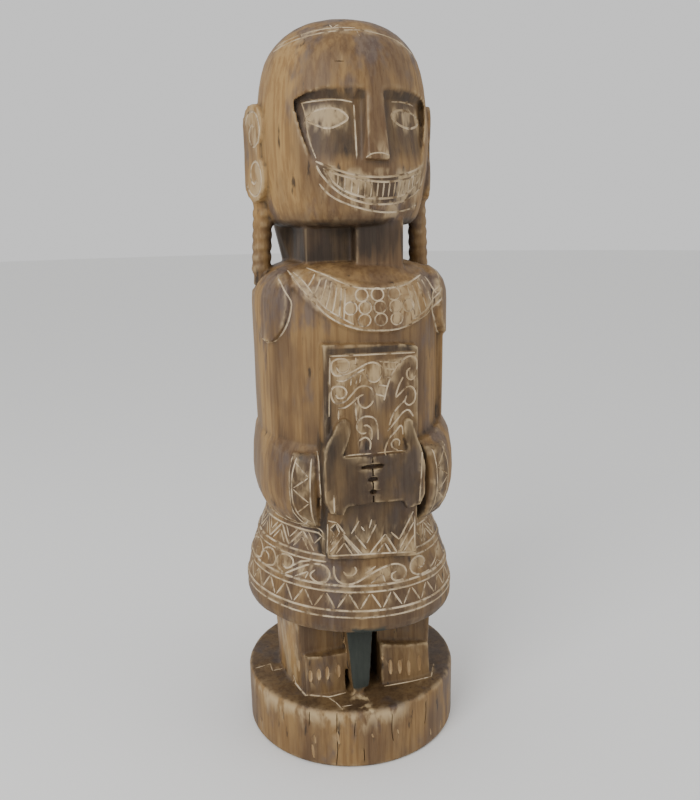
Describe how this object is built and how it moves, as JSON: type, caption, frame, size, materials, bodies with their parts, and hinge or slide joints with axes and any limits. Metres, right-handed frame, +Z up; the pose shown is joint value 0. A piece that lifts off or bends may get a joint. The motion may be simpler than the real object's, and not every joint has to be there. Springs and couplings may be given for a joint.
{
  "type": "carved tribal figure",
  "caption": "Standing wooden figure carved whole from a trunk, on a round base, holding a carved board, with scroll ears, ringed ear rods and a patterned skirt.",
  "frame": {"origin": "centre of the underside of the round base", "axes": "+Z up the figure, -Y the way it looks, +X its left-hand side"},
  "size_m": [0.314, 0.314, 1],
  "materials": {
    "stained_wood": "brown stain waxed to a low sheen, lime-white left in the carved lines, near-black in the hollows"
  },
  "bodies": {
    "root": {"carved_figure": "stained_wood"}
  },
  "joints": []
}
